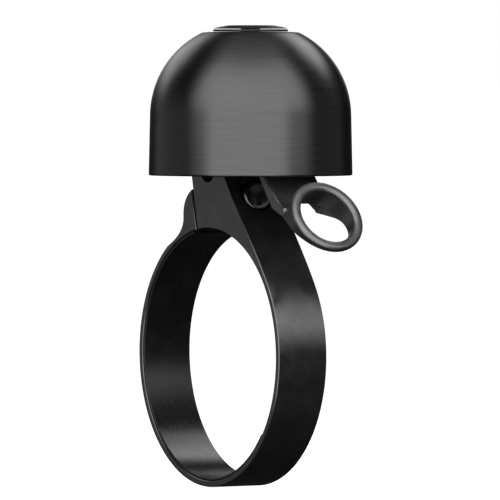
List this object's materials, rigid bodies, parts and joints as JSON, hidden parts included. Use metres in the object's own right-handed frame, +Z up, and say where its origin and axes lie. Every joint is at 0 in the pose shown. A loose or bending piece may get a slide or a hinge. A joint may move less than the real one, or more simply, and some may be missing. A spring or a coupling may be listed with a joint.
{
  "type": "bicycle bell",
  "caption": "Small black bicycle bell: turned dome over a slim one-piece clamp band, with a sprung striker lever that ends in a round thumb loop.",
  "frame": {"origin": "centre of the handlebar bore, half-way along it", "axes": "+Y along the handlebar, +Z up from the bar to the dome, +X towards the thumb loop"},
  "size_m": [0.0418, 0.0256, 0.0581],
  "materials": {
    "clamp_metal": "black anodised, fine blasted texture",
    "dome_metal": "black coated, fine turned lines round the axis",
    "crown_metal": "black coated, satin, turned",
    "lever_metal": "black coated, matte blasted",
    "black_screw": "black oxide",
    "bright_steel": "bright turned steel",
    "spring_steel": "drawn wire",
    "bearing_brass": "turned brass",
    "grip_rubber": "matte",
    "black_nylon": "matte"
  },
  "bodies": {
    "mount": {"clamp_body": "clamp_metal", "clamp_liner": "grip_rubber", "clamp_bolt": "black_screw", "clamp_bolt_washer": "bright_steel", "clamp_thread_insert": "bright_steel", "inner_bracket": "clamp_metal", "bracket_screw": "black_screw", "dome_post": "bright_steel", "post_lock_washer": "bright_steel", "post_locknut": "bright_steel", "bell_dome": "dome_metal", "dome_isolator": "grip_rubber", "crown_bushing": "black_nylon", "crown_gasket": "black_nylon", "crown_screw": "crown_metal", "pivot_pin": "bright_steel", "pivot_clip": "bright_steel", "pivot_bush_near": "bearing_brass", "pivot_bush_far": "bearing_brass", "return_spring": "spring_steel", "stop_bumper": "grip_rubber"},
    "striker": {"striker_lever": "lever_metal", "hammer": "bearing_brass", "hammer_collar": "bright_steel"}
  },
  "joints": [
    {"name": "striker_pivot", "type": "hinge", "parent": "mount", "child": "striker", "pos_m": [0.007, 0, 0.0305], "axis": [0, 1, 0], "range_deg": [-2.5, 16], "stiffness_Nm_per_rad": 0.03, "deforming": ["return_spring"]}
  ]
}
